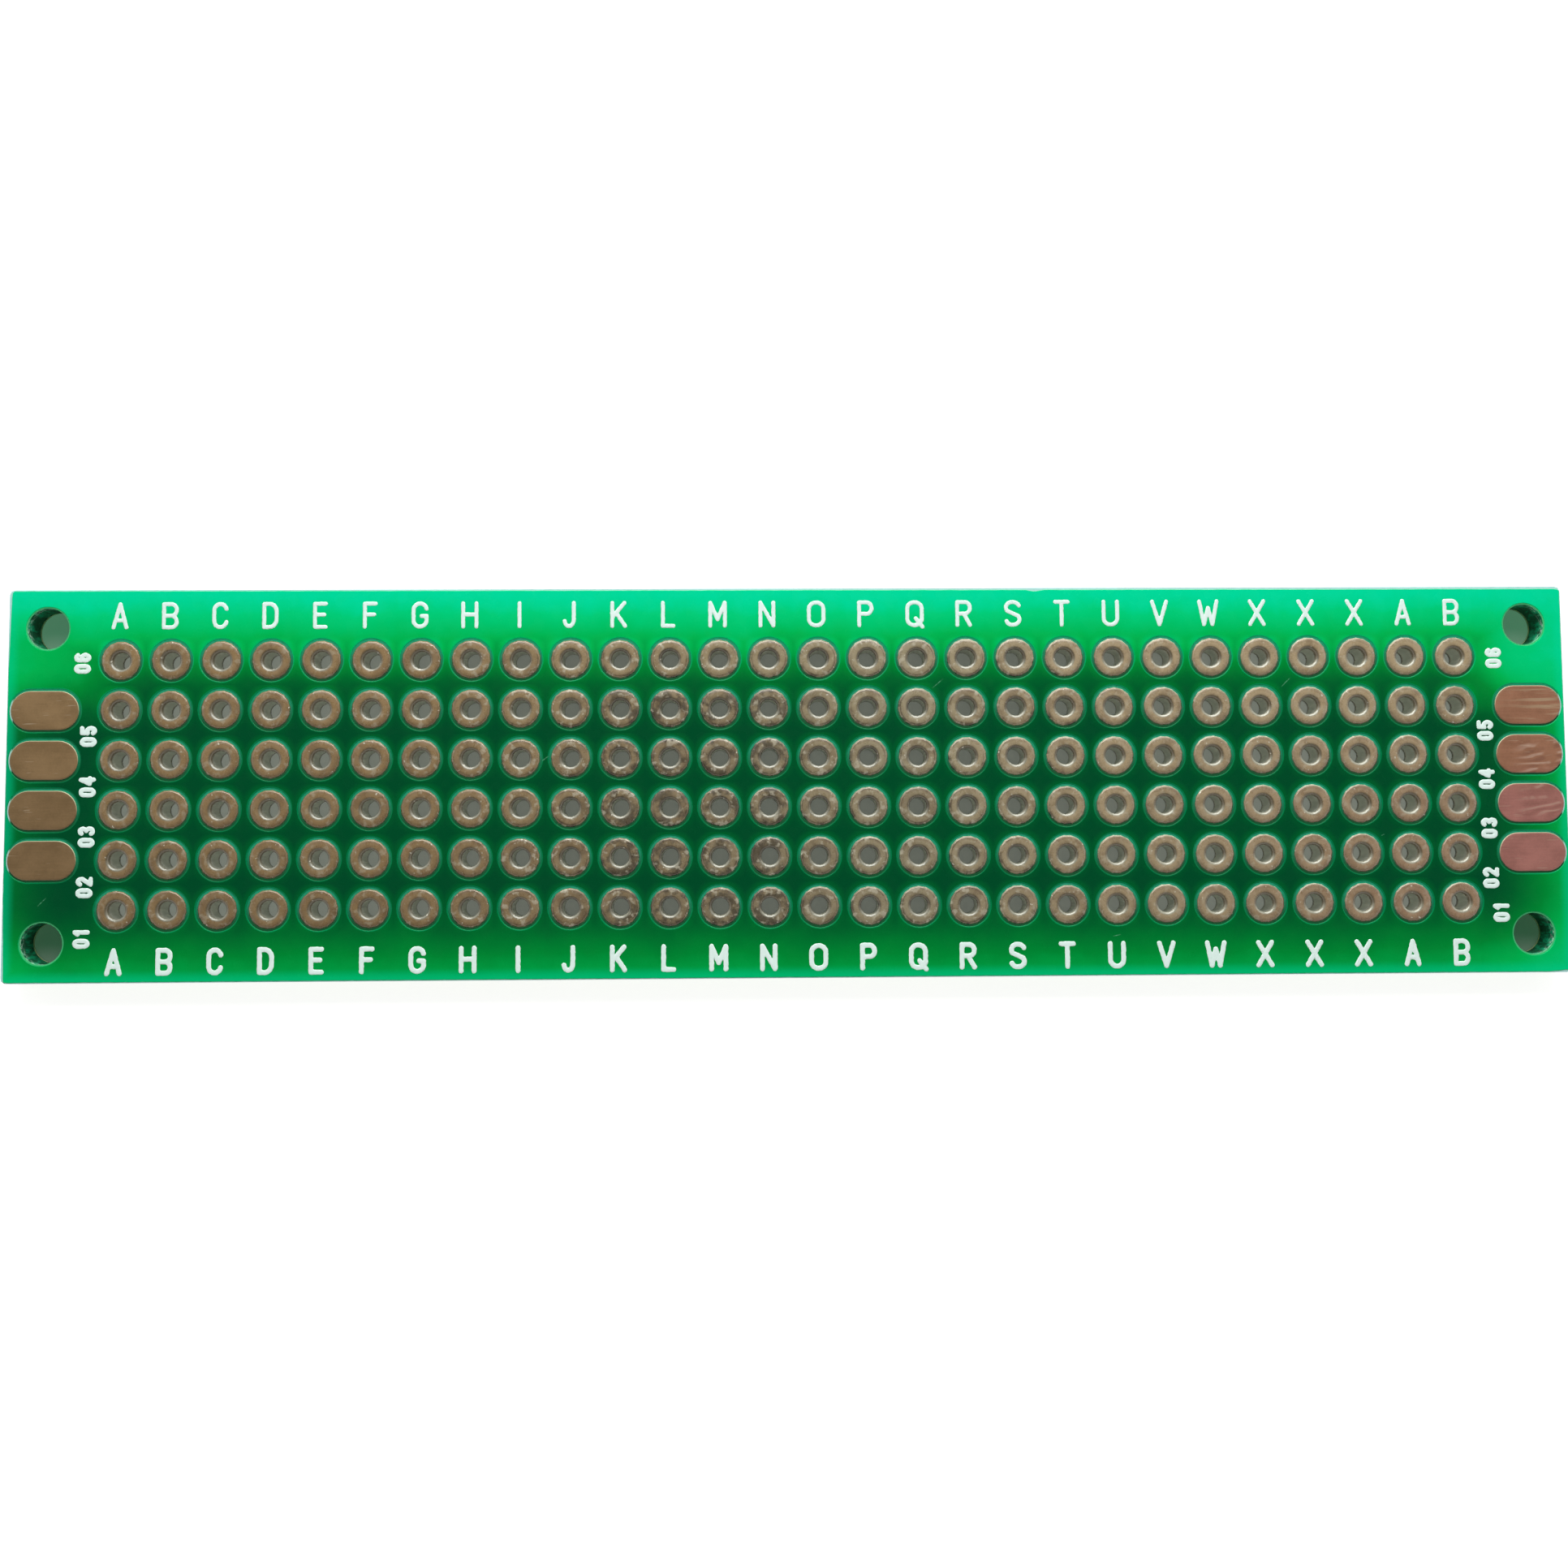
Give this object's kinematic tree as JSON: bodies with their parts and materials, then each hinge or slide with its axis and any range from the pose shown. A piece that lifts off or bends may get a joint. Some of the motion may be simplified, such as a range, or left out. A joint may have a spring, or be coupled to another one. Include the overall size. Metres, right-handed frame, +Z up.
{
  "type": "bare circuit board",
  "caption": "Long thin double-sided prototype board with a grid of plated through-holes, oblong solder pads at both ends and a mounting hole in each corner.",
  "frame": {"origin": "middle of the plane that the bottom lands and pads rest on", "axes": "+X along the board towards the end of the last column, +Y across it towards row 06, +Z up, out of the face that carries the legend"},
  "size_m": [0.08, 0.02, 0.0016],
  "materials": {
    "laminate": "sawn glass-epoxy laminate, olive beige",
    "solder_mask": "glossy green solder mask film",
    "copper": "bare copper with a thin protective coat, brown, satin",
    "legend": "white printed ink"
  },
  "bodies": {
    "root": {"laminate": "laminate", "solder_mask_top": "solder_mask", "solder_mask_bottom": "solder_mask", "plated_holes_row_1": "copper", "plated_holes_row_2": "copper", "plated_holes_row_3": "copper", "plated_holes_row_4": "copper", "plated_holes_row_5": "copper", "plated_holes_row_6": "copper", "left_end_pad_top_2": "copper", "left_end_pad_top_3": "copper", "left_end_pad_top_4": "copper", "left_end_pad_top_5": "copper", "left_end_pad_bottom_2": "copper", "left_end_pad_bottom_3": "copper", "left_end_pad_bottom_4": "copper", "left_end_pad_bottom_5": "copper", "right_end_pad_top_2": "copper", "right_end_pad_top_3": "copper", "right_end_pad_top_4": "copper", "right_end_pad_top_5": "copper", "right_end_pad_bottom_2": "copper", "right_end_pad_bottom_3": "copper", "right_end_pad_bottom_4": "copper", "right_end_pad_bottom_5": "copper"}
  },
  "joints": []
}
